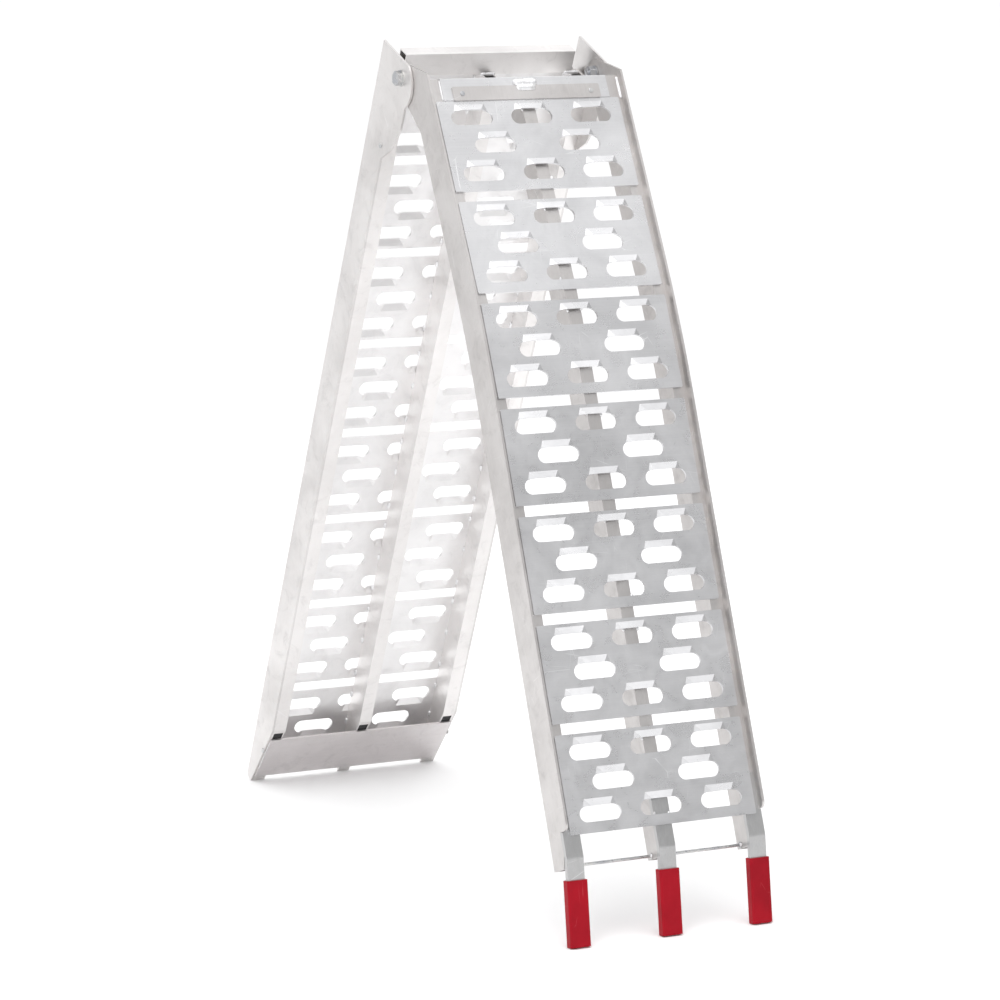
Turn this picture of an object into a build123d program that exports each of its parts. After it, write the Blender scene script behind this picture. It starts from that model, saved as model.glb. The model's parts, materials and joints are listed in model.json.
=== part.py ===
from build123d import *
import math
import os

# Folding loading ramp: two punched aluminium halves joined by a hinge, standing
# half folded like an inverted V.  Each half is first modelled in its own flat
# frame: X across the ramp, Y away from the hinge axis, Z up from the hinge axis
# to the deck.  The hook half's rails have a gentle crown, so everything on it is
# placed by its distance along the deck.  The halves are then turned about the
# hinge axis to the rest pose and the whole is set down with the middle of its
# footprint at the origin.

# ---------------------------------------------------------------- driving sizes
DECK_Z = 54.0            # deck top above the hinge axis
DECK_T = 3.0             # punched plate thickness
RAIL_W = 18.0            # rail tube width
RAIL_D = 37.0            # rail tube depth
RAIL_WALL = 2.0
KERB_H = 9.0             # side plate above the deck top
SIDE_T = 3.0             # side plate thickness
KERB_CORNER_R = 9.0
FOOT_HALF_W = 140.0      # foot half, centre line to the inner face of its side plates
SIDE_CLEARANCE = 0.4     # hook half's side plates run this far inside the foot half's

PLATE_PITCH = 135.8
PLATE_LENGTH = 122.0
PLATE_INSET = 6.0        # rail top left bare between a deck plate and the kerb
HOOK_PLATES = 7
FOOT_PLATES = 8
HOOK_GRID_END = 1000.5   # hook half plates are counted back from here
FOOT_GRID_END = 1094.3
FOOT_TIP = 1109.1        # end of the foot half

SLOT_LENGTH = 58.0
SLOT_WIDTH = 19.5
SLOT_ROW_STEP = 38.0
OUTER_SLOT_X = 85.0      # rows of three slots
INNER_SLOT_X = 60.0      # rows of two slots
LIP_RISE = 3.5           # grip lip pressed up along one edge of each slot
LIP_LENGTH = 9.0         # from the slot edge back to where the lip meets the plate
LIP_CREST_HALF = 13.5    # half width of the lip's crest, at the slot edge
LIP_EDGE_HALF = 23.0     # half width of the whole lip at the slot edge
LIP_ROOT_HALF = 20.0     # half width of the lip where it meets the plate

CROWN = 6.3              # the hook half's rails bend down by this angle, degrees
CROWN_AT = 369.0         # middle of the bend, along the deck
CROWN_LENGTH = 179.0

HOOK_START = 25.3        # hook half side rails and deck end, from the hinge axis
FOOT_START = -16.6       # foot half cross tube reaches past the axis
FOOT_RAIL_START = 18.0   # foot half side rails leave room for the hook half's ears
CROSS_DEPTH = 20.0
CROSS_GAP = 0.3          # between a cross tube and the first deck plate
STRIP_W = 19.0
STRIP_T = 2.0
STRIP_HALF = 105.0
STRIP_SCREW_X = 92.0

HOOK_KERB_END = 988.0    # kerb stops short of the deck end
HOOK_RAIL_END = 1032.0
FINGER_W = 23.0
FINGER_T = 6.0
FINGER_INSET = 942.0     # finger bars are let into the rails from here
FINGER_SLIT = 1.0        # between a bent finger and the end of its rail
FINGER_BEND_AT = 1020.0
FINGER_BEND = 13.2       # fingers bend toward the underside, degrees
FINGER_BEND_R = 10.0
FINGER_X = 128.0
CAP_W = 28.0
CAP_T = 13.0
CAP_LENGTH = 81.0
CAP_END_T = 3.0
CAP_GAP = 28.0           # bare bar between the bend and the cap
ROD_D = 4.0
ROD_AT = 1027.5
ROD_Z = 23.0
ROD_WASHER_D = 8.0

BEVEL_START = 1003.0     # foot half underside is cut up to the tip from here
BEVEL_TIP_Z = 49.0
BEVEL_PLATE_T = 2.5
BEVEL_PLATE_INSET = 18.0
TIP_GAP = 12.0           # bevel plate and deck end this far short of the rail tips

HINGE_D = 10.0           # hinge bolt
HINGE_CLEARANCE = 0.05
HOOK_EAR_R = 19.5
FOOT_EAR_DEPTH = 33.0    # lowest point of the outer ears, below the hinge axis
WASHER_D = 21.0
WASHER_T = 1.6
HEX_AF = 17.0
HEX_HEAD_T = 6.4
HEX_NUT_T = 8.0

SPREAD = 49.84           # angle between the halves at rest beside the hinge, degrees

# ---------------------------------------------------------------- worked out
RAIL_TOP = DECK_Z - DECK_T
RAIL_BOTTOM = RAIL_TOP - RAIL_D
KERB_TOP = DECK_Z + KERB_H
FOOT_OUTER = FOOT_HALF_W + SIDE_T
HOOK_OUTER = FOOT_HALF_W - SIDE_CLEARANCE
HOOK_HALF_W = HOOK_OUTER - SIDE_T
FINGER_TOP = RAIL_TOP
FINGER_BOTTOM = FINGER_TOP - FINGER_T
BEVEL_ANGLE = math.degrees(math.atan2(BEVEL_TIP_Z - RAIL_BOTTOM, FOOT_TIP - BEVEL_START))
CROWN_START = CROWN_AT - CROWN_LENGTH / 2
CROWN_END = CROWN_AT + CROWN_LENGTH / 2
CROWN_R = CROWN_LENGTH / math.radians(CROWN)
FOOT_SIDES = {"left": -1, "centre": 0, "right": 1}
HOOK_SIDES = {"left": 1, "centre": 0, "right": -1}  # this half is turned round at the end


def block(x, y, z):
    """A box given by its low and high limit along each axis."""
    size = [high - low for low, high in (x, y, z)]
    middle = [(high + low) / 2 for low, high in (x, y, z)]
    return Pos(*middle) * Box(*size)


def side_profile(outline, x0, x1):
    """Extrude a (Y, Z) sketch along X between two planes."""
    face = Plane.YZ * outline
    return Pos(x0, 0, 0) * extrude(face, amount=x1 - x0, dir=(1, 0, 0))


def polygon(*points):
    return make_face(Polyline(*points, close=True))


def across(radius, length, x, y, z):
    """A round bar along X, from x towards +X."""
    return Pos(x + length / 2, y, z) * Rot(0, 90, 0) * Cylinder(radius, length)


def tangent_point(point, radius, side):
    """Where the line from a point touches a circle round the hinge axis."""
    distance = math.hypot(*point)
    heading = math.atan2(point[1], point[0])
    turn = math.acos(radius / distance)
    angle = heading + side * turn
    return (radius * math.cos(angle), radius * math.sin(angle))


# ---------------------------------------------------------------- the crown
def crown_angle(along):
    """How far the hook half's deck has turned down at this distance along it, degrees."""
    part = (along - CROWN_START) / CROWN_LENGTH
    return CROWN * min(max(part, 0.0), 1.0)


def on_crown(along):
    """Placement that carries flat-frame parts near this distance onto the crowned half."""
    bent = min(max(along - CROWN_START, 0.0), CROWN_LENGTH)
    centre = Pos(0, CROWN_START, DECK_Z - CROWN_R)
    return centre * Rot(-crown_angle(along), 0, 0) * centre.inverse() * Pos(0, -bent, 0)


def crown_point(along, height):
    """Flat (Y, Z) carried onto the crowned half."""
    point = (on_crown(along) * Pos(0, along, height)).position
    return point.Y, point.Z


def long_edges(start, end, height):
    """Edges along the crowned half at one height, from start to end."""
    stops = [start, CROWN_START, CROWN_END, end]
    edges = []
    for near, far in zip(stops, stops[1:]):
        if near == CROWN_START:
            middle = crown_point((near + far) / 2, height)
            edges.append(ThreePointArc(crown_point(near, height), middle, crown_point(far, height)))
        else:
            edges.append(Line(crown_point(near, height), crown_point(far, height)))
    return edges


def long_band(start, end, bottom, top):
    """Side view of a bar that follows the crown, between two heights."""
    edges = long_edges(start, end, top) + long_edges(start, end, bottom)
    edges.append(Line(crown_point(start, bottom), crown_point(start, top)))
    edges.append(Line(crown_point(end, bottom), crown_point(end, top)))
    return make_face(edges)


# ---------------------------------------------------------------- rails
def hollow(x, outline, bore):
    """Rectangular tube from the side view of its outside and of its bore."""
    half = RAIL_W / 2
    tube = side_profile(outline, x - half, x + half)
    return tube - side_profile(bore, x - half + RAIL_WALL, x + half - RAIL_WALL)


def finger_path(start):
    """Room for the fingers: everything above their underside, from start to the rail end."""
    slope = math.tan(math.radians(FINGER_BEND))
    bend = FINGER_BEND_AT - FINGER_BEND_R * math.tan(math.radians(FINGER_BEND / 2)) - 2 * FINGER_SLIT
    far = HOOK_RAIL_END + 5
    outline = polygon(
        (start, FINGER_BOTTOM),
        (bend, FINGER_BOTTOM),
        (far, FINGER_BOTTOM - FINGER_SLIT - (far - bend) * slope),
        (far, KERB_TOP + 5),
        (start, KERB_TOP + 5),
    )
    return on_crown(start) * side_profile(outline, -FOOT_OUTER, FOOT_OUTER)


def hook_rail(x):
    """Hook half rail: crowned, notched for its finger and drilled for the rod."""
    outline = long_band(HOOK_START, HOOK_RAIL_END, RAIL_BOTTOM, RAIL_TOP)
    bore = long_band(HOOK_START - 1, HOOK_RAIL_END + 1, RAIL_BOTTOM + RAIL_WALL, RAIL_TOP - RAIL_WALL)
    half = RAIL_W / 2 + 1
    rod_hole = on_crown(ROD_AT) * across(ROD_D / 2, 2 * half, x - half, ROD_AT, ROD_Z)
    return hollow(x, outline, bore) - finger_path(FINGER_INSET) - rod_hole


def flat_band(start, end, bottom, top):
    return polygon((start, bottom), (end, bottom), (end, top), (start, top))


def bevel_cutter(offset):
    """Everything below the foot half's bevel, moved outward by offset."""
    rise = offset / math.cos(math.radians(BEVEL_ANGLE))
    slope = math.tan(math.radians(BEVEL_ANGLE))
    far = FOOT_TIP + 40
    near = BEVEL_START - 40
    outline = polygon(
        (near, RAIL_BOTTOM - 40 * slope - rise),
        (far, BEVEL_TIP_Z + 40 * slope - rise),
        (far, RAIL_BOTTOM - 60),
        (near, RAIL_BOTTOM - 60),
    )
    return side_profile(outline, -FOOT_OUTER - 1, FOOT_OUTER + 1)


def foot_rail(x, start):
    """Foot half rail: the underside is bevelled up to the tip."""
    outline = flat_band(start, FOOT_TIP, RAIL_BOTTOM, RAIL_TOP)
    bore = flat_band(start - 1, FOOT_TIP + 1, RAIL_BOTTOM + RAIL_WALL, RAIL_TOP - RAIL_WALL)
    return hollow(x, outline, bore) - bevel_cutter(0)


def under_cross_tube(rail, start, end):
    """Centre rail with its top cut away where a cross tube crosses it."""
    half = RAIL_W / 2 + 1
    return rail - block((-half, half), (start - 1, end), (DECK_Z - CROSS_DEPTH, RAIL_TOP + 1))


# ---------------------------------------------------------------- side plates with the hinge ears
def hook_side_plate(side):
    """Flat bar outside a hook half rail: kerb above the deck, ear at the hinge."""
    top = (22.5, KERB_TOP)
    gusset = (80.0, RAIL_BOTTOM)
    joined = 100.0
    ear = polygon(
        top,
        tangent_point(top, HOOK_EAR_R, 1),
        tangent_point(gusset, HOOK_EAR_R, -1),
        gusset,
        (joined, RAIL_BOTTOM),
        (joined, KERB_TOP),
    )
    web = long_band(joined, HOOK_RAIL_END, RAIL_BOTTOM, FINGER_BOTTOM)
    kerb = long_band(joined, HOOK_KERB_END, FINGER_BOTTOM, KERB_TOP)
    corner = kerb.vertices().sort_by_distance(crown_point(HOOK_KERB_END, KERB_TOP))[0]
    outline = ear + Circle(HOOK_EAR_R) + web + fillet([corner], KERB_CORNER_R)
    outline = outline - Circle(HINGE_D / 2 + HINGE_CLEARANCE)
    return place_side(outline, side, HOOK_HALF_W) - finger_path(HOOK_KERB_END)


def foot_side_plate(side):
    """Flat bar outside a foot half rail: kerb, outer hinge ear, bevelled tip."""
    shoulder = (-23.0, -13.0)
    waist = (30.0, -24.0)
    under_ear = ThreePointArc(waist, (4.0, -FOOT_EAR_DEPTH), shoulder)
    rest = Polyline(
        shoulder,
        (-24.0, KERB_TOP),
        (FOOT_TIP, KERB_TOP),
        (FOOT_TIP, BEVEL_TIP_Z),
        (BEVEL_START, RAIL_BOTTOM),
        (120.0, RAIL_BOTTOM),
        (97.0, -8.0),
        (61.0, -24.0),
        waist,
    )
    body = make_face([under_ear] + list(rest.edges()))
    tip = body.vertices().sort_by_distance((FOOT_TIP, KERB_TOP))[0]
    outline = fillet([tip], KERB_CORNER_R)
    outline = outline - Circle(HINGE_D / 2 + HINGE_CLEARANCE)
    return place_side(outline, side, FOOT_HALF_W)


def place_side(outline, side, inner):
    if side > 0:
        return side_profile(outline, inner, inner + SIDE_T)
    return side_profile(outline, -inner - SIDE_T, -inner)


# ---------------------------------------------------------------- punched deck plates
def slot_centres():
    """Slot centres on one plate: rows of three, two and three."""
    centres = []
    for row in (-1, 0, 1):
        columns = (-INNER_SLOT_X, INNER_SLOT_X) if row == 0 else (-OUTER_SLOT_X, 0.0, OUTER_SLOT_X)
        for x in columns:
            centres.append((x, row * SLOT_ROW_STEP))
    return centres


def lip_wedge(way):
    """Space under one pressed lip: a wedge with sloping ends, rising to the slot edge."""
    edge = way * SLOT_WIDTH / 2
    root = edge + way * LIP_LENGTH
    low_left = (-LIP_EDGE_HALF, edge, 0)
    low_right = (LIP_EDGE_HALF, edge, 0)
    high_left = (-LIP_CREST_HALF, edge, LIP_RISE)
    high_right = (LIP_CREST_HALF, edge, LIP_RISE)
    root_left = (-LIP_ROOT_HALF, root, 0)
    root_right = (LIP_ROOT_HALF, root, 0)
    outlines = (
        (low_left, low_right, root_right, root_left),
        (low_left, low_right, high_right, high_left),
        (high_left, high_right, root_right, root_left),
        (low_left, high_left, root_left),
        (low_right, high_right, root_right),
    )
    faces = [Face(Wire.make_polygon(outline, close=True)) for outline in outlines]
    return Solid(Shell(faces))


def deck_plate(half_width, way):
    """One punched plate, its underside at Z 0; the lips are on the way side of the slots."""
    outline = RectangleRounded(2 * half_width, PLATE_LENGTH, 2.0)
    plate = extrude(outline, amount=DECK_T)
    slot = extrude(SlotOverall(SLOT_LENGTH, SLOT_WIDTH), amount=DECK_T)
    wedge = lip_wedge(way)
    for x, y in slot_centres():
        plate += Pos(x, y, DECK_T) * wedge
    for x, y in slot_centres():
        plate -= Pos(x, y) * wedge
        plate -= Pos(x, y) * slot
    return plate


# ---------------------------------------------------------------- hinge end cross pieces
def cross_tube(half_width, start, end):
    """Rectangular tube across the hinge end of a half, level with the deck."""
    bottom = DECK_Z - CROSS_DEPTH
    tube = block((-half_width, half_width), (start, end), (bottom, DECK_Z))
    tube = fillet(tube.edges().filter_by(Axis.X), 1.2)
    bore = block(
        (-half_width - 1, half_width + 1),
        (start + RAIL_WALL, end - RAIL_WALL),
        (bottom + RAIL_WALL, DECK_Z - RAIL_WALL),
    )
    return tube - bore


def flat_strip(half_width, start, width, bottom, thickness):
    """Flat bar across a half."""
    strip = block((-half_width, half_width), (start, start + width), (bottom, bottom + thickness))
    return fillet(strip.edges().filter_by(Axis.Z), 2.0)


def screw_head(radius, height):
    """Low domed screw head standing on Z 0."""
    head = Cylinder(radius, height, align=(Align.CENTER, Align.CENTER, Align.MIN))
    return fillet(head.edges().sort_by(Axis.Z)[-1], height * 0.6)


def strip_screws(xs, y):
    return [Pos(x, y, DECK_Z + STRIP_T) * screw_head(3.2, 1.4) for x in xs]


def side_screws(outer, places):
    """Screw heads on the outer faces of both side plates of a half."""
    head = screw_head(3.6, 1.6)
    screws = []
    for y, z in places:
        screws.append(Pos(outer, y, z) * Rot(0, 90, 0) * head)
        screws.append(Pos(-outer, y, z) * Rot(0, -90, 0) * head)
    return screws


# ---------------------------------------------------------------- hook fingers
def finger_frame():
    """The sloping part of a finger: Y along it from the bend, Z toward the deck."""
    return Pos(0, FINGER_BEND_AT, FINGER_TOP) * Rot(-FINGER_BEND, 0, 0)


def finger_outline():
    """Side view of a bent finger bar; the bend has a mitre line at half the angle."""
    turn = math.radians(FINGER_BEND)
    reach = CAP_GAP + CAP_LENGTH - CAP_END_T
    mitre = FINGER_T * math.tan(turn / 2)
    tip_y = FINGER_BEND_AT + reach * math.cos(turn)
    tip_z = FINGER_TOP - reach * math.sin(turn)
    outline = polygon(
        (FINGER_INSET, FINGER_TOP),
        (FINGER_BEND_AT, FINGER_TOP),
        (tip_y, tip_z),
        (tip_y - FINGER_T * math.sin(turn), tip_z - FINGER_T * math.cos(turn)),
        (FINGER_BEND_AT - mitre, FINGER_BOTTOM),
        (FINGER_INSET, FINGER_BOTTOM),
    )
    bend = outline.vertices().sort_by_distance((FINGER_BEND_AT, FINGER_TOP))[0]
    outline = fillet([bend], FINGER_BEND_R + FINGER_T)
    inner = outline.vertices().sort_by_distance((FINGER_BEND_AT - mitre, FINGER_BOTTOM))[0]
    return fillet([inner], FINGER_BEND_R)


def finger_bar(x):
    """Flat bar let into a rail, trimmed where it lies between the side plates."""
    half = FINGER_W / 2
    bar = side_profile(finger_outline(), x - half, x + half)
    for side in (-1, 1):
        outside = (side * HOOK_HALF_W, side * FOOT_OUTER)
        trim = (FINGER_INSET - 1, HOOK_KERB_END + 0.5)
        bar -= block((min(outside), max(outside)), trim, (FINGER_BOTTOM - 1, FINGER_TOP + 1))
    return on_crown(FINGER_BEND_AT) * bar


def finger_cap(x):
    """Soft sleeve over the end of a finger, closed at the tip."""
    half = CAP_W / 2
    proud = (CAP_T - FINGER_T) / 2
    sleeve = block((-half, half), (CAP_GAP, CAP_GAP + CAP_LENGTH), (-FINGER_T - proud, proud))
    sleeve = fillet(sleeve.edges().filter_by(Axis.Y), 2.5)
    end = CAP_GAP + CAP_LENGTH - CAP_END_T
    bar = block((-FINGER_W / 2, FINGER_W / 2), (CAP_GAP - 1, end), (-FINGER_T, 0))
    return on_crown(FINGER_BEND_AT) * Pos(x, 0, 0) * finger_frame() * (sleeve - bar)


def anchor_rod():
    length = 2 * (HOOK_HALF_W - 4)
    return on_crown(ROD_AT) * across(ROD_D / 2, length, -length / 2, ROD_AT, ROD_Z)


def rod_washers(rail_xs):
    """Push-on washers that locate the rod against the rails' inner faces."""
    thick = 1.2
    washers = []
    for x in rail_xs:
        for face in (-1, 1):
            at = x + face * RAIL_W / 2
            if abs(at) > FINGER_X:
                continue
            start = at if face > 0 else at - thick
            ring = across(ROD_WASHER_D / 2, thick, start, ROD_AT, ROD_Z)
            ring -= across(ROD_D / 2, thick + 2, start - 1, ROD_AT, ROD_Z)
            washers.append(on_crown(ROD_AT) * ring)
    return washers


# ---------------------------------------------------------------- foot end
def bevel_plate():
    """Flat plate closing the bevelled underside at the foot."""
    length = (FOOT_TIP - BEVEL_START) / math.cos(math.radians(BEVEL_ANGLE))
    run = (BEVEL_PLATE_INSET, length - TIP_GAP)
    plate = block((-FOOT_HALF_W, FOOT_HALF_W), run, (-BEVEL_PLATE_T, 0))
    return Pos(0, BEVEL_START, RAIL_BOTTOM) * Rot(BEVEL_ANGLE, 0, 0) * plate


def tube_plug(x):
    """Moulded plug in a rail tube, cut flush with the bevel."""
    half = RAIL_W / 2 - RAIL_WALL
    plug = block(
        (x - half, x + half),
        (BEVEL_START - 18, BEVEL_START + 30),
        (RAIL_BOTTOM + RAIL_WALL, RAIL_TOP - RAIL_WALL),
    )
    return plug - bevel_cutter(-0.6)


# ---------------------------------------------------------------- hinge hardware
def hexagon(across_flats, thickness):
    outline = RegularPolygon(across_flats / 2, 6, major_radius=False)
    prism = extrude(outline, amount=thickness)
    chamfer_ring = Cylinder(
        across_flats / 2 * 1.12, thickness, align=(Align.CENTER, Align.CENTER, Align.MIN)
    )
    return prism & chamfer_ring


def hinge_bolt(side):
    """Hexagon bolt through the outer ear and the inner ear."""
    tip = HOOK_HALF_W - SIDE_CLEARANCE - WASHER_T - HEX_NUT_T - 2
    head_at = FOOT_OUTER + WASHER_T
    shank = across(HINGE_D / 2, head_at - tip, tip, 0, 0)
    head = Pos(head_at, 0, 0) * Rot(0, 90, 0) * hexagon(HEX_AF, HEX_HEAD_T)
    return mirrored(shank + head, side)


def washer(outer, inner, thickness, x, side):
    ring = across(outer / 2, thickness, x, 0, 0) - across(inner / 2, thickness + 2, x - 1, 0, 0)
    return mirrored(ring, side)


def hinge_nut(side):
    x = HOOK_HALF_W - SIDE_CLEARANCE - WASHER_T - HEX_NUT_T
    nut = Pos(x, 0, 0) * Rot(0, 90, 0) * hexagon(HEX_AF, HEX_NUT_T)
    return mirrored(nut - across(HINGE_D / 2, HEX_NUT_T + 2, x - 1, 0, 0), side)


def mirrored(solid, side):
    return solid if side > 0 else mirror(solid, about=Plane.YZ)


# ---------------------------------------------------------------- the two halves
def plate_centres(grid_end, count):
    """Deck plate centres counted back from the free end toward the hinge."""
    return [grid_end - PLATE_PITCH * (number + 0.5) for number in range(count)]


def hook_half():
    """Nodes of the hook half in its flat frame."""
    nodes = {}
    rail_x = HOOK_HALF_W - RAIL_W / 2
    centres = plate_centres(HOOK_GRID_END, HOOK_PLATES)
    deck_start = centres[-1] - PLATE_LENGTH / 2
    strip_start = deck_start - STRIP_W
    for name, side in HOOK_SIDES.items():
        nodes[f"hook_finger_{name}"] = finger_bar(side * FINGER_X)
        nodes[f"finger_cap_{name}"] = finger_cap(side * FINGER_X)
        if side:
            nodes[f"hook_side_rail_{name}"] = hook_rail(side * rail_x)
            nodes[f"hook_side_plate_{name}"] = hook_side_plate(side)
    nodes["hook_centre_rail"] = under_cross_tube(hook_rail(0), HOOK_START, deck_start)
    plate = deck_plate(HOOK_HALF_W - PLATE_INSET, -1)
    for number, centre in enumerate(centres, 1):
        nodes[f"hook_deck_plate_{number}"] = on_crown(centre) * Pos(0, centre, RAIL_TOP) * plate
    nodes["hook_cross_tube"] = cross_tube(rail_x - RAIL_W / 2, HOOK_START, deck_start - CROSS_GAP)
    nodes["hook_cover_strip"] = flat_strip(STRIP_HALF, strip_start, STRIP_W, DECK_Z, STRIP_T)
    nodes["hook_strip_screws"] = strip_screws((-STRIP_SCREW_X, STRIP_SCREW_X), strip_start + STRIP_W / 2)
    nodes["anchor_rod"] = anchor_rod()
    nodes["anchor_rod_washers"] = rod_washers((-rail_x, 0, rail_x))
    return nodes


def foot_half():
    """Nodes of the foot half in its flat frame, with the hinge bolts."""
    nodes = {}
    rail_x = FOOT_HALF_W - RAIL_W / 2
    nut_face = HOOK_HALF_W - SIDE_CLEARANCE - WASHER_T
    centres = plate_centres(FOOT_GRID_END, FOOT_PLATES)
    deck_start = centres[-1] - PLATE_LENGTH / 2
    deck_end = centres[0] + PLATE_LENGTH / 2 + CROSS_GAP
    tube_end = deck_start - CROSS_GAP
    plate_half = FOOT_HALF_W - PLATE_INSET
    for name, side in FOOT_SIDES.items():
        nodes[f"tube_plug_{name}"] = tube_plug(side * rail_x)
        if side:
            nodes[f"foot_side_rail_{name}"] = foot_rail(side * rail_x, FOOT_RAIL_START)
            nodes[f"foot_side_plate_{name}"] = foot_side_plate(side)
            nodes[f"hinge_bolt_{name}"] = hinge_bolt(side)
            nodes[f"hinge_nut_{name}"] = hinge_nut(side)
            nodes[f"hinge_head_washer_{name}"] = washer(WASHER_D, HINGE_D, WASHER_T, FOOT_OUTER, side)
            nodes[f"hinge_nut_washer_{name}"] = washer(WASHER_D, HINGE_D, WASHER_T, nut_face, side)
    nodes["foot_centre_rail"] = foot_rail(0, tube_end)
    plate = deck_plate(plate_half, 1)
    for number, centre in enumerate(centres, 1):
        nodes[f"foot_deck_plate_{number}"] = Pos(0, centre, RAIL_TOP) * plate
    nodes["foot_cross_tube"] = cross_tube(rail_x - RAIL_W / 2, FOOT_START, tube_end)
    nodes["foot_tip_strip"] = flat_strip(plate_half, deck_end, FOOT_TIP - TIP_GAP - deck_end, RAIL_TOP, DECK_T)
    nodes["foot_side_screws"] = side_screws(FOOT_OUTER, ((104, 19), (1045, 29)))
    nodes["bevel_plate"] = bevel_plate()
    return nodes


# ---------------------------------------------------------------- rest pose
def hook_contact():
    """Lowest corner of the finger caps, as (Y, Z) in the flat frame."""
    turn = math.radians(FINGER_BEND)
    along = CAP_GAP + CAP_LENGTH
    under = (CAP_T + FINGER_T) / 2
    y = FINGER_BEND_AT + along * math.cos(turn) - under * math.sin(turn)
    z = FINGER_TOP - along * math.sin(turn) - under * math.cos(turn)
    return crown_point(y, z)


def rest_leans():
    """Lean of each half from the vertical so that both ends meet the floor."""
    hook_y, hook_z = hook_contact()
    foot_y, foot_z = FOOT_TIP, BEVEL_TIP_Z
    spread = math.radians(SPREAD)
    foot_reach = math.hypot(foot_y, foot_z)
    foot_turn = math.atan2(foot_z, foot_y)
    across_part = foot_reach * math.sin(spread + foot_turn) + hook_z
    along_part = hook_y - foot_reach * math.cos(spread + foot_turn)
    hook = math.atan2(along_part, across_part)
    return math.degrees(hook), SPREAD - math.degrees(hook)


def box_limits(nodes):
    solids = []
    for shape in nodes.values():
        solids.extend(shape if isinstance(shape, list) else [shape])
    bounds = Compound(children=[solid.moved(Location()) for solid in solids]).bounding_box()
    return bounds.min, bounds.max


def move(shape, location):
    if isinstance(shape, list):
        return [location * piece for piece in shape]
    return location * shape


def assemble():
    hook_lean, foot_lean = rest_leans()
    hook_turn = Rot(90 - hook_lean, 0, 0) * Rot(0, 0, 180)
    foot_turn = Rot(foot_lean - 90, 0, 0)
    nodes = {name: move(shape, hook_turn) for name, shape in hook_half().items()}
    nodes.update({name: move(shape, foot_turn) for name, shape in foot_half().items()})
    low, high = box_limits(nodes)
    hinge = Pos(-(low.X + high.X) / 2, -(low.Y + high.Y) / 2, -low.Z)
    print("hook half lean", round(hook_lean, 4), "foot half lean", round(foot_lean, 4))
    print("hinge axis at", [round(value, 4) for value in hinge.position])
    return {name: move(shape, hinge) for name, shape in nodes.items()}


def write(nodes):
    os.makedirs("parts", exist_ok=True)
    for name, shape in nodes.items():
        if isinstance(shape, list):
            shape = Compound(children=shape)
        export_step(shape, f"parts/{name}.step")


write(assemble())
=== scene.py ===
"""Folding loading ramp: finishes, weld beads, floor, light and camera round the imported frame."""
import json
import math
import random

import bpy
from mathutils import Matrix, Vector


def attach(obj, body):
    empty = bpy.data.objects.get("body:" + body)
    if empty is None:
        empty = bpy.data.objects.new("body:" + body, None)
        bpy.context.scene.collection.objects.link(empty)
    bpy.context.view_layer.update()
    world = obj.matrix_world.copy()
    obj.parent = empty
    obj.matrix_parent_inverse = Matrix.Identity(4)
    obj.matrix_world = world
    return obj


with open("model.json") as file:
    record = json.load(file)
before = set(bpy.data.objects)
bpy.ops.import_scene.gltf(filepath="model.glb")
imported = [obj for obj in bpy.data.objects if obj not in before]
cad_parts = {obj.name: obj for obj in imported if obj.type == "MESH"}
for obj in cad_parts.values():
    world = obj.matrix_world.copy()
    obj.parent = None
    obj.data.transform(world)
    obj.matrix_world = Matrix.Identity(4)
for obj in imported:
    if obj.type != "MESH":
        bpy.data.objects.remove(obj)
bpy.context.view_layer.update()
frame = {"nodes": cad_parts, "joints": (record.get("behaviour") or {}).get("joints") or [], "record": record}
nodes = frame["nodes"]
hinge = Vector(frame["joints"][0]["pos_m"])

MM = 0.001

# ---------------------------------------------------------------- sizes repeated from the part, mm
HOOK_LEAN = 28.2812
FOOT_LEAN = 21.5588
DECK_TOP = 54.0
RAIL_TOP = 51.0
RAIL_BOTTOM = 14.0
CROSS_BOTTOM = 34.0
CROWN = 6.3
CROWN_START = 279.5
CROWN_LENGTH = 179.0
CROWN_RADIUS = CROWN_LENGTH / math.radians(CROWN)
PLATE_PITCH = 135.8
HOOK_GRID_END = 1000.5
FOOT_GRID_END = 1094.3
HOOK_PLATES = 7
FOOT_PLATES = 8
HOOK_RAIL_X = 127.6
FOOT_RAIL_X = 131.0
RAIL_HALF = 9.0
HOOK_START = 25.3
TUBE_END = 14.5
ROD_AT = 1027.5
ROD_Z = 23.0
BEVEL_START = 1003.0
FOOT_TIP = 1109.1
BEVEL_TIP_Z = 49.0
BEVEL_PLATE_INSET = 18.0
BEVEL_PLATE_T = 2.5

# turns the deck direction of each half into the texture's Y
HOOK_TURN = math.radians(90 - HOOK_LEAN)
FOOT_TURN = math.radians(FOOT_LEAN - 90)


def hook_matrix(along):
    """Flat frame of the hook half near a distance along it, to the row frame, in mm."""
    bent = min(max(along - CROWN_START, 0.0), CROWN_LENGTH)
    turned = -bent / CROWN_RADIUS
    centre = Matrix.Translation((0, CROWN_START, DECK_TOP - CROWN_RADIUS))
    crown = centre @ Matrix.Rotation(turned, 4, "X") @ centre.inverted()
    crown = crown @ Matrix.Translation((0, -bent, 0))
    turn = Matrix.Rotation(HOOK_TURN, 4, "X") @ Matrix.Rotation(math.pi, 4, "Z")
    return turn @ crown


def foot_matrix(along):
    """Flat frame of the foot half to the row frame, in mm."""
    return Matrix.Rotation(FOOT_TURN, 4, "X")


def placed(matrix_of, x, along, z):
    """A flat-frame point in mm, in the row frame in metres."""
    return hinge + (matrix_of(along) @ Vector((x, along, z))) * MM


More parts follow.
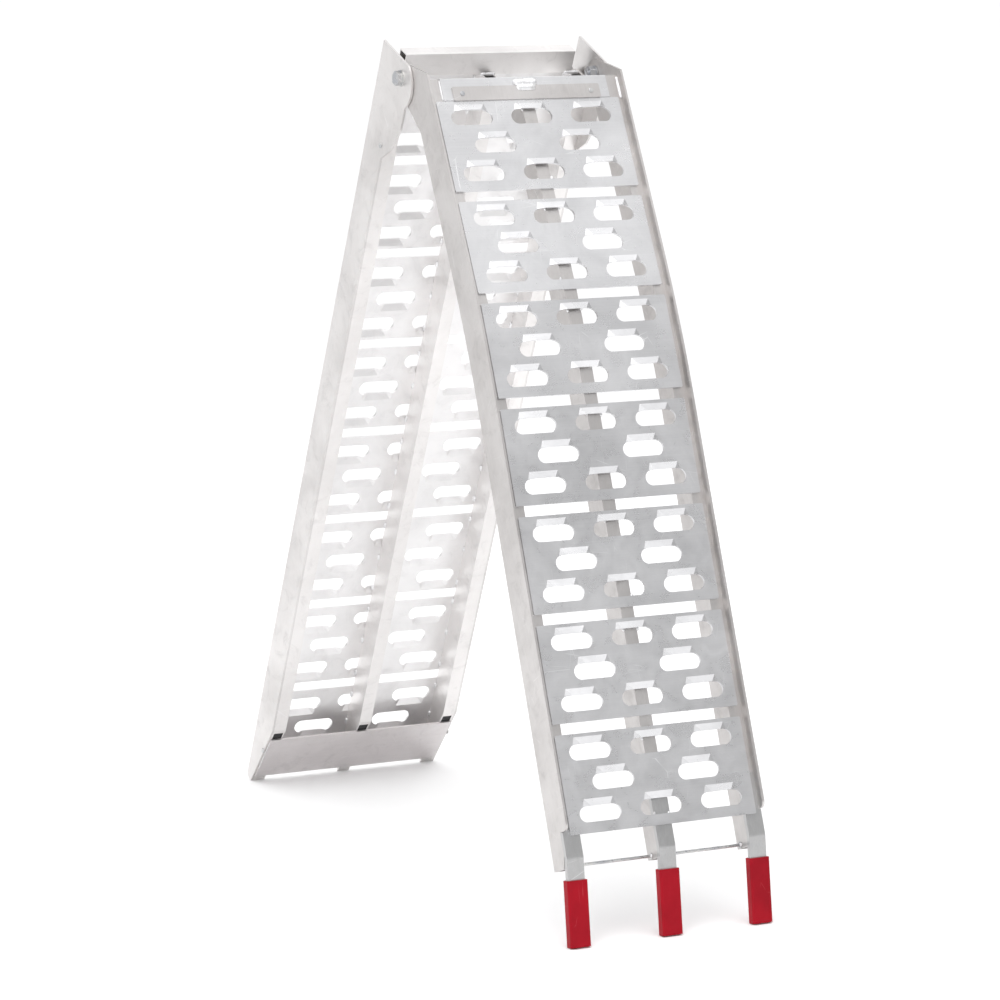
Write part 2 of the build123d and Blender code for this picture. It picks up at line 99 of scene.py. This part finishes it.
# ---------------------------------------------------------------- node helpers
class Shader:
    """One material and short calls to build its nodes."""

    def __init__(self, name):
        self.material = bpy.data.materials.new(name)
        self.material.use_nodes = True
        self.tree = self.material.node_tree
        self.tree.nodes.clear()
        self.out = self.add("ShaderNodeOutputMaterial")
        self.surface = self.add("ShaderNodeBsdfPrincipled")
        self.join(self.surface.outputs["BSDF"], self.out.inputs["Surface"])

    def add(self, kind, **settings):
        node = self.tree.nodes.new(kind)
        for key, value in settings.items():
            setattr(node, key, value)
        return node

    def join(self, source, target):
        self.tree.links.new(source, target)

    def set(self, **values):
        for name, value in values.items():
            self.surface.inputs[name.replace("_", " ")].default_value = value

    def place(self, turn=0.0, stretch=(1, 1, 1)):
        """Object coordinates turned about X and then stretched."""
        coords = self.add("ShaderNodeTexCoord")
        turned = self.add("ShaderNodeMapping")
        turned.inputs["Rotation"].default_value = (-turn, 0, 0)
        self.join(coords.outputs["Object"], turned.inputs["Vector"])
        scaled = self.add("ShaderNodeMapping")
        scaled.inputs["Scale"].default_value = stretch
        self.join(turned.outputs["Vector"], scaled.inputs["Vector"])
        return scaled.outputs["Vector"]

    def noise(self, vector, scale, detail=4.0, rough=0.6, bent=0.0):
        node = self.add("ShaderNodeTexNoise")
        self.join(vector, node.inputs["Vector"])
        node.inputs["Scale"].default_value = scale
        node.inputs["Detail"].default_value = detail
        node.inputs["Roughness"].default_value = rough
        node.inputs["Distortion"].default_value = bent
        return node.outputs["Fac"]

    def cracks(self, vector, scale):
        """Distance to the nearest edge of a Voronoi pattern."""
        node = self.add("ShaderNodeTexVoronoi", feature="DISTANCE_TO_EDGE")
        self.join(vector, node.inputs["Vector"])
        node.inputs["Scale"].default_value = scale
        return node.outputs["Distance"]

    def remap(self, value, low, high, to_low, to_high):
        node = self.add("ShaderNodeMapRange", interpolation_type="SMOOTHSTEP")
        self.join(value, node.inputs["Value"])
        limits = (("From Min", low), ("From Max", high), ("To Min", to_low), ("To Max", to_high))
        for name, number in limits:
            node.inputs[name].default_value = number
        return node.outputs["Result"]

    def math(self, operation, a, b):
        node = self.add("ShaderNodeMath", operation=operation)
        for socket, value in zip(node.inputs, (a, b)):
            if isinstance(value, (int, float)):
                socket.default_value = value
            else:
                self.join(value, socket)
        return node.outputs[0]

    def blend(self, factor, a, b):
        """Colour a to colour b; each may be a colour or an output."""
        node = self.add("ShaderNodeMix", data_type="RGBA", blend_type="MIX")
        sockets = (node.inputs[0], node.inputs[6], node.inputs[7])
        for socket, value in zip(sockets, (factor, a, b)):
            if isinstance(value, bpy.types.NodeSocket):
                self.join(value, socket)
            elif isinstance(value, tuple):
                socket.default_value = (*value, 1.0)
            else:
                socket.default_value = value
        return node.outputs[2]

    def bump(self, height, depth, strength=1.0, below=None):
        node = self.add("ShaderNodeBump")
        node.inputs["Distance"].default_value = depth
        node.inputs["Strength"].default_value = strength
        self.join(height, node.inputs["Height"])
        if below is not None:
            self.join(below, node.inputs["Normal"])
        return node.outputs["Normal"]


# ---------------------------------------------------------------- materials
def scratches(shader, turn, stretch, scale, width):
    """Thin broken lines, 1 on a scratch and 0 elsewhere."""
    line = shader.cracks(shader.place(turn, stretch), scale)
    line = shader.remap(line, 0.0, width, 1.0, 0.0)
    broken = shader.noise(shader.place(turn), 26.0, 2.0, 0.5)
    return shader.math("MULTIPLY", line, shader.remap(broken, 0.56, 0.66, 0.0, 1.0))


EVEN_WAVES = (16.0, 16.0, 16.0)
BANDS_ACROSS = (1.5, 26.0, 1.5)


def aluminium(name, turn, dark, light, rough, grain, marks, waves=EVEN_WAVES, smudging=0.28):
    """Mill-finish aluminium: drifting tone, drawn grain, smudges, scratches and pits."""
    shader = Shader(name)
    plain = shader.place(turn)
    tone = shader.remap(shader.noise(plain, 7.0, 5.0, 0.62, 0.4), 0.32, 0.68, 0.0, 1.0)
    smudge = shader.noise(plain, 34.0, 5.0, 0.7, 0.8)
    streak = shader.noise(shader.place(turn, grain), 1.0, 3.0, 0.55)
    spots = shader.remap(shader.noise(plain, 120.0, 2.0, 0.5), 0.70, 0.78, 0.0, 1.0)
    fine = scratches(shader, turn, (1.0, 0.35, 1.0), 30.0, 0.006)
    crossing = scratches(shader, turn, (0.25, 1.3, 1.0), 18.0, 0.005)
    lines = shader.math("MULTIPLY", shader.math("MAXIMUM", fine, crossing), marks)
    colour = shader.blend(tone, dark, light)
    dull = tuple(0.72 * part for part in dark)
    colour = shader.blend(shader.remap(smudge, 0.52, 0.72, 0.0, smudging), colour, dull)
    colour = shader.blend(shader.remap(streak, 0.35, 0.65, 0.0, 0.07), colour, (0.90, 0.90, 0.90))
    colour = shader.blend(shader.math("MULTIPLY", spots, 0.08), colour, (0.30, 0.29, 0.28))
    colour = shader.blend(lines, colour, (0.93, 0.93, 0.94))
    shader.join(colour, shader.surface.inputs["Base Color"])
    worn = shader.remap(smudge, 0.35, 0.68, rough[0], rough[1])
    worn = shader.math("ADD", worn, shader.math("MULTIPLY", streak, 0.05))
    shader.join(worn, shader.surface.inputs["Roughness"])
    normal = shader.bump(streak, 0.00003, 0.18)
    normal = shader.bump(lines, 0.00006, 0.6, normal)
    normal = shader.bump(shader.noise(shader.place(turn, waves), 1.0, 3.0, 0.5), 0.0012, 0.22, normal)
    shader.join(normal, shader.surface.inputs["Normal"])
    shader.set(Metallic=0.94)
    return shader.material


def weld_metal(name):
    """Rippled aluminium bead: bright, with soot in the hollows."""
    shader = Shader(name)
    plain = shader.place()
    grains = shader.noise(plain, 420.0, 4.0, 0.65)
    soot = shader.remap(shader.noise(plain, 90.0, 3.0, 0.6), 0.45, 0.70, 0.0, 0.45)
    colour = shader.blend(soot, (0.86, 0.86, 0.87), (0.46, 0.45, 0.44))
    shader.join(colour, shader.surface.inputs["Base Color"])
    shader.join(shader.remap(grains, 0.3, 0.7, 0.28, 0.52), shader.surface.inputs["Roughness"])
    shader.join(shader.bump(grains, 0.0002, 0.5), shader.surface.inputs["Normal"])
    shader.set(Metallic=0.9)
    return shader.material


def zinc(name):
    """Zinc-plated steel: bluish patches, fine spangle, slightly dulled."""
    shader = Shader(name)
    plain = shader.place()
    spangle = shader.noise(plain, 260.0, 3.0, 0.6)
    patch = shader.remap(shader.noise(plain, 60.0, 4.0, 0.6), 0.35, 0.65, 0.0, 1.0)
    colour = shader.blend(patch, (0.44, 0.45, 0.47), (0.62, 0.62, 0.61))
    shader.join(colour, shader.surface.inputs["Base Color"])
    shader.join(shader.remap(spangle, 0.3, 0.7, 0.22, 0.42), shader.surface.inputs["Roughness"])
    shader.join(shader.bump(spangle, 0.0001, 0.3), shader.surface.inputs["Normal"])
    shader.set(Metallic=1.0)
    return shader.material


def vinyl(name):
    """Dipped vinyl sleeve: crimson, orange-peel skin, a few rubbed marks."""
    shader = Shader(name)
    plain = shader.place()
    tone = shader.remap(shader.noise(plain, 22.0, 4.0, 0.6), 0.3, 0.7, 0.0, 1.0)
    colour = shader.blend(tone, (0.28, 0.001, 0.009), (0.36, 0.002, 0.012))
    rub = scratches(shader, 0.0, (1.0, 1.0, 0.3), 60.0, 0.012)
    colour = shader.blend(shader.math("MULTIPLY", rub, 0.35), colour, (0.72, 0.16, 0.18))
    shader.join(colour, shader.surface.inputs["Base Color"])
    peel = shader.noise(plain, 700.0, 3.0, 0.55)
    shader.join(shader.remap(peel, 0.3, 0.7, 0.36, 0.50), shader.surface.inputs["Roughness"])
    normal = shader.bump(peel, 0.00012, 0.35)
    normal = shader.bump(shader.noise(plain, 60.0, 2.0, 0.5), 0.0009, 0.25, normal)
    shader.join(normal, shader.surface.inputs["Normal"])
    shader.set(Specular_IOR_Level=0.16)
    return shader.material


def black_plastic(name):
    """Moulded plug: fine matt texture with dusty patches."""
    shader = Shader(name)
    plain = shader.place()
    dust = shader.remap(shader.noise(plain, 70.0, 4.0, 0.6), 0.5, 0.75, 0.0, 0.5)
    colour = shader.blend(dust, (0.012, 0.012, 0.013), (0.06, 0.06, 0.06))
    shader.join(colour, shader.surface.inputs["Base Color"])
    skin = shader.noise(plain, 1500.0, 2.0, 0.5)
    shader.join(shader.remap(skin, 0.3, 0.7, 0.48, 0.64), shader.surface.inputs["Roughness"])
    shader.join(shader.bump(skin, 0.0001, 0.4), shader.surface.inputs["Normal"])
    return shader.material


ACROSS_GRAIN = (6.0, 900.0, 900.0)
LENGTH_GRAIN = (1100.0, 5.0, 1100.0)
finishes = {
    # painted shade: the hook deck and cross tube get a darker base tone than the foot deck, standing in for
    # the duller light they catch
    "hook_deck": aluminium("hook_deck_aluminium_painted_shade", HOOK_TURN, (0.60, 0.60, 0.61), (0.73, 0.73, 0.74),
                           (0.24, 0.38), ACROSS_GRAIN, 0.7, BANDS_ACROSS, 0.14),
    "foot_deck": aluminium("foot_deck_aluminium", FOOT_TURN, (0.80, 0.79, 0.79), (0.89, 0.88, 0.88),
                           (0.30, 0.48), ACROSS_GRAIN, 0.3, BANDS_ACROSS, 0.14),
    # painted shade: the hook rails and side plates get a darker base tone than the foot rails, for the shade
    # on their faces
    "hook_rail": aluminium("hook_rail_aluminium_painted_shade", HOOK_TURN, (0.52, 0.50, 0.49), (0.63, 0.61, 0.60),
                           (0.28, 0.42), LENGTH_GRAIN, 0.35),
    # painted light: the foot rails and cross tube get a lighter base tone to brighten faces that the studio
    # light leaves dim
    "foot_rail": aluminium("foot_rail_aluminium_painted_light", FOOT_TURN, (0.78, 0.76, 0.75), (0.87, 0.85, 0.84),
                           (0.30, 0.46), LENGTH_GRAIN, 0.3),
    # painted shade: the foot side plates and the bevel plate get darker base tones than the foot deck and
    # rails of the same aluminium
    "foot_side": aluminium("foot_side_aluminium_painted_shade", FOOT_TURN, (0.63, 0.61, 0.60), (0.76, 0.74, 0.73),
                           (0.28, 0.42), LENGTH_GRAIN, 0.3),
    "foot_bevel": aluminium("foot_bevel_aluminium_painted_shade", FOOT_TURN, (0.66, 0.63, 0.63), (0.75, 0.72, 0.72),
                            (0.28, 0.40), ACROSS_GRAIN, 0.4),
    # painted shade: the hook fingers get a much darker base tone than the rest of the aluminium, matched to
    # how dark they look in shade
    "hook_bar": aluminium("hook_bar_aluminium_painted_shade", HOOK_TURN, (0.44, 0.44, 0.44), (0.54, 0.54, 0.54),
                          (0.26, 0.36), LENGTH_GRAIN, 0.6),
    "weld": weld_metal("weld_aluminium"),
    "zinc": zinc("zinc_plate"),
    "vinyl": vinyl("crimson_vinyl"),
    "plastic": black_plastic("black_plug_plastic"),
}


def finish_of(name, body):
    half = body.split("_")[0]
    if name.startswith("finger_cap"):
        return finishes["vinyl"]
    if name.startswith("tube_plug"):
        return finishes["plastic"]
    if name.startswith("hinge_") or name.startswith("anchor_rod") or name.endswith("screws"):
        return finishes["zinc"]
    if name.startswith("hook_finger"):
        return finishes["hook_bar"]
    if name.startswith("foot_side_plate"):
        return finishes["foot_side"]
    if name == "bevel_plate":
        return finishes["foot_bevel"]
    if "deck_plate" in name or name in ("hook_cross_tube", "foot_tip_strip"):
        return finishes[half + "_deck"]
    return finishes[half + "_rail"]


def dress_frame():
    """Every CAD node gets its finish."""
    for body, members in frame["record"]["behaviour"]["bodies"].items():
        for name in members:
            node = nodes[name]
            for slot in node.material_slots:
                slot.material = finish_of(name, body)


# ---------------------------------------------------------------- weld beads
class Beads:
    """Weld beads of one half, gathered into one mesh."""

    RING = 10
    STEP = 0.0007
    RIPPLE = 0.0026

    def __init__(self, seed):
        self.points = []
        self.faces = []
        self.chance = random.Random(seed)

    def run(self, path, out, radius, flat=0.62):
        """A rippled bead through the path; out is the way it stands proud, radius in metres."""
        lengths = [(b - a).length for a, b in zip(path, path[1:])]
        total = sum(lengths)
        count = max(6, int(total / self.STEP))
        phase = self.chance.random()
        first = len(self.points)
        for i in range(count + 1):
            at = total * i / count
            centre, heading = self.locate(path, lengths, at)
            side = heading.cross(out).normalized()
            up = side.cross(heading).normalized()
            wave = abs(math.sin(math.pi * (at / self.RIPPLE + phase)))
            from_end = min(at, total - at) / radius
            taper = math.sqrt(max(0.0, 1 - (1 - min(from_end, 1.0)) ** 2)) if from_end < 1 else 1.0
            size = radius * max(taper, 0.06) * (0.80 + 0.20 * wave + self.chance.uniform(-0.05, 0.05))
            drift = side * self.chance.uniform(-0.08, 0.08) * radius
            for k in range(self.RING):
                angle = 2 * math.pi * k / self.RING
                offset = side * math.cos(angle) * size + up * math.sin(angle) * size * flat
                self.points.append(centre + drift + offset)
            if i:
                self.bridge(first + (i - 1) * self.RING, first + i * self.RING)
        self.faces.append([first + k for k in reversed(range(self.RING))])
        self.faces.append([first + count * self.RING + k for k in range(self.RING)])

    def bridge(self, a, b):
        for k in range(self.RING):
            following = (k + 1) % self.RING
            self.faces.append([a + k, a + following, b + following, b + k])

    @staticmethod
    def locate(path, lengths, at):
        """Point and heading at a distance along the path."""
        for start, end, length in zip(path, path[1:], lengths):
            if at <= length or end is path[-1]:
                return start.lerp(end, min(at / length, 1.0)), (end - start).normalized()
            at -= length
        return path[-1], (path[-1] - path[-2]).normalized()

    def make(self, name, body):
        mesh = bpy.data.meshes.new(name)
        mesh.from_pydata([tuple(p) for p in self.points], [], self.faces)
        mesh.polygons.foreach_set("use_smooth", [True] * len(mesh.polygons))
        mesh.materials.append(finishes["weld"])
        piece = bpy.data.objects.new(name, mesh)
        bpy.context.scene.collection.objects.link(piece)
        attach(piece, body)
        return piece


def outward(matrix_of, along, x, z):
    """A flat-frame direction in the row frame."""
    return (matrix_of(along).to_3x3() @ Vector((x, 0, z))).normalized()


def line(beads, matrix_of, start, end, out, radius):
    """A bead between two flat-frame points in mm, standing out in (x, z)."""
    path = [placed(matrix_of, *start), placed(matrix_of, *end)]
    beads.run(path, outward(matrix_of, start[1], *out), radius * MM)


def plate_middles(grid_end, count):
    return [grid_end - PLATE_PITCH * (number + 0.5) for number in range(count)]


TACK_OFFSETS = (-50.0, 0.0, 50.0)   # along the ramp from the middle of each plate, mm
TACK_HALF = 4.5
TACK_RADIUS = 2.5


# beads over the cross tube above the centre rail: place along, half length, radius
CENTRE_WELDS = ((34.0, 17.0, 6.0), (40.5, 14.0, 5.4))
CENTRE_WELD_RISE = 1.5
CORNER_WELD_RADIUS = 2.6
CORNER_WELD_END = 58.0
TUBE_WELD_RADIUS = 2.4
TUBE_WELD_END = 55.0
ROD_TACK_RADIUS = 2.0
CROSS_WELD_RADIUS = 3.4
CROSS_WELD_HALF = 11.0
BEVEL_WELD_X = 139.0
BEVEL_WELD_START = BEVEL_PLATE_INSET + 6
BEVEL_WELD_END = 84.0
BEVEL_WELD_RADIUS = 1.6


def inner_corners(rail_x):
    """Inward-facing sides of the three rails, each with the way it faces along X."""
    return (
        (-rail_x + RAIL_HALF, 1),
        (-RAIL_HALF, -1),
        (RAIL_HALF, 1),
        (rail_x - RAIL_HALF, -1),
    )


def deck_tacks(beads, matrix_of, middles, rail_x):
    """Short beads where the plates' undersides meet the rails."""
    corners = inner_corners(rail_x)
    for middle in middles:
        for x, way in corners:
            for offset in TACK_OFFSETS:
                at = middle + offset + beads.chance.uniform(-3, 3)
                start = (x + way * 0.6, at - TACK_HALF, RAIL_TOP - 0.6)
                end = (x + way * 0.6, at + TACK_HALF, RAIL_TOP - 0.6)
                line(beads, matrix_of, start, end, (way, -1), TACK_RADIUS)


def hook_beads():
    beads = Beads(11)
    deck_tacks(beads, hook_matrix, plate_middles(HOOK_GRID_END, HOOK_PLATES), HOOK_RAIL_X)
    top = DECK_TOP + CENTRE_WELD_RISE
    for along, half, radius in CENTRE_WELDS:
        line(beads, hook_matrix, (-half, along, top), (half, along, top), (0, 1), radius)
    for side in (-1, 1):
        wall = side * (HOOK_RAIL_X + RAIL_HALF - 0.8)
        start = (wall, HOOK_START + 2, RAIL_TOP)
        end = (wall, CORNER_WELD_END, RAIL_TOP)
        line(beads, hook_matrix, start, end, (-side, 1), CORNER_WELD_RADIUS)
        inner = side * (HOOK_RAIL_X - RAIL_HALF)
        start = (inner, HOOK_START + 2, DECK_TOP - 3)
        end = (inner, TUBE_WELD_END, DECK_TOP - 3)
        line(beads, hook_matrix, start, end, (side, 1), TUBE_WELD_RADIUS)
    # the rod is tacked to the rails
    for x, way in inner_corners(HOOK_RAIL_X):
        start = (x + way * 1.2, ROD_AT - 3, ROD_Z + 3.0)
        end = (x + way * 1.2, ROD_AT + 2, ROD_Z + 2.6)
        line(beads, hook_matrix, start, end, (way, 1), ROD_TACK_RADIUS)
    beads.make("hook_weld_beads", "hook_half")


def foot_beads():
    beads = Beads(23)
    deck_tacks(beads, foot_matrix, plate_middles(FOOT_GRID_END, FOOT_PLATES), FOOT_RAIL_X)
    # under the cross tube, at the rails
    for x in (-FOOT_RAIL_X + RAIL_HALF, 0.0, FOOT_RAIL_X - RAIL_HALF):
        start = (x - CROSS_WELD_HALF, TUBE_END, CROSS_BOTTOM)
        end = (x + CROSS_WELD_HALF, TUBE_END, CROSS_BOTTOM)
        line(beads, foot_matrix, start, end, (0, -1), CROSS_WELD_RADIUS)
    # bevel plate against the side plates
    slope = math.atan2(BEVEL_TIP_Z - RAIL_BOTTOM, FOOT_TIP - BEVEL_START)
    rise = BEVEL_PLATE_T * 0.5
    for x in (-BEVEL_WELD_X, BEVEL_WELD_X):
        points = []
        for reach in (BEVEL_WELD_START, BEVEL_WELD_END):
            along = BEVEL_START + reach * math.cos(slope) + rise * math.sin(slope)
            height = RAIL_BOTTOM + reach * math.sin(slope) - rise * math.cos(slope)
            points.append((x, along, height))
        line(beads, foot_matrix, points[0], points[1], (0, -1), BEVEL_WELD_RADIUS)
    beads.make("foot_weld_beads", "foot_half")


# ---------------------------------------------------------------- stage
def floor_material():
    shader = Shader("pale_floor")
    drift = shader.remap(shader.noise(shader.place(), 0.8, 3.0, 0.5), 0.3, 0.7, 0.0, 1.0)
    colour = shader.blend(drift, (0.97, 0.97, 0.97), (0.98, 0.98, 0.98))
    shader.join(colour, shader.surface.inputs["Base Color"])
    shader.set(Roughness=0.85, Specular_IOR_Level=0.1)
    return shader.material


def make_floor():
    half = 60.0
    mesh = bpy.data.meshes.new("floor")
    corners = [(-half, -half, 0), (half, -half, 0), (half, half, 0), (-half, half, 0)]
    mesh.from_pydata(corners, [], [(0, 1, 2, 3)])
    mesh.materials.append(floor_material())
    floor = bpy.data.objects.new("floor", mesh)
    bpy.context.scene.collection.objects.link(floor)


def area_light(name, position, target, size, power):
    data = bpy.data.lights.new(name, "AREA")
    data.shape = "RECTANGLE"
    data.size, data.size_y = size
    data.energy = power
    light = bpy.data.objects.new(name, data)
    light.location = position
    light.rotation_euler = (Vector(target) - Vector(position)).to_track_quat("-Z", "Y").to_euler()
    bpy.context.scene.collection.objects.link(light)


# brightness of the studio by the sine of the height above the horizon
SKY = ((0.02, 0.93), (0.14, 0.66), (0.36, 0.45), (0.52, 0.58), (0.68, 0.96), (0.88, 1.05), (0.98, 1.7))
SKY_STRENGTH = 1.15


def make_light():
    world = bpy.data.worlds.new("studio")
    bpy.context.scene.world = world
    world.use_nodes = True
    tree = world.node_tree
    background = tree.nodes["Background"]
    coords = tree.nodes.new("ShaderNodeTexCoord")
    split = tree.nodes.new("ShaderNodeSeparateXYZ")
    ramp = tree.nodes.new("ShaderNodeValToRGB")
    tree.links.new(coords.outputs["Generated"], split.inputs["Vector"])
    tree.links.new(split.outputs["Z"], ramp.inputs["Fac"])
    tree.links.new(ramp.outputs["Color"], background.inputs["Color"])
    for place, level in SKY:
        stop = ramp.color_ramp.elements.new(place)
        stop.color = (level, level, level * 1.005, 1.0)
    for end, level in ((0, SKY[0][1]), (-1, SKY[-1][1])):
        ramp.color_ramp.elements[end].color = (level, level, level, 1.0)
    background.inputs["Strength"].default_value = SKY_STRENGTH
    area_light("overhead", (-0.6, -0.8, 3.2), (0, 0, 0.5), (3.0, 2.4), 22)
    area_light("key", (-2.6, -2.4, 1.9), (0, 0, 0.6), (1.6, 2.0), 26)
    area_light("rim", (2.2, 2.0, 1.6), (0, 0, 0.6), (1.2, 1.6), 12)


# ---------------------------------------------------------------- camera
CAMERA_AZIMUTH = math.radians(-27.78)
CAMERA_ELEVATION = math.radians(9.95)
CAMERA_ROLL = math.radians(0.79)
CAMERA_LENS = 149.03
CAMERA_RIGHT = -0.007583    # of the hinge
CAMERA_UP = -0.540499
CAMERA_BACK = 5.284293
CAMERA_AIM = Vector((0, -0.0135, 0))


def make_camera():
    level = math.cos(CAMERA_ELEVATION)
    back = Vector((
        math.sin(CAMERA_AZIMUTH) * level,
        -math.cos(CAMERA_AZIMUTH) * level,
        math.sin(CAMERA_ELEVATION),
    ))
    flat = Vector((math.cos(CAMERA_AZIMUTH), math.sin(CAMERA_AZIMUTH), 0))
    plumb = back.cross(flat)
    right = flat * math.cos(CAMERA_ROLL) + plumb * math.sin(CAMERA_ROLL)
    up = plumb * math.cos(CAMERA_ROLL) - flat * math.sin(CAMERA_ROLL)
    position = hinge + CAMERA_AIM + right * CAMERA_RIGHT + up * CAMERA_UP + back * CAMERA_BACK
    data = bpy.data.cameras.new("camera")
    data.lens = CAMERA_LENS
    data.sensor_width = 36.0
    data.clip_end = 200.0
    camera = bpy.data.objects.new("camera", data)
    rows = [[right[i], up[i], back[i], position[i]] for i in range(3)] + [[0, 0, 0, 1]]
    camera.matrix_world = Matrix(rows)
    bpy.context.scene.collection.objects.link(camera)
    bpy.context.scene.camera = camera


dress_frame()
hook_beads()
foot_beads()
make_floor()
make_light()
make_camera()
bpy.context.scene.view_settings.view_transform = "Standard"
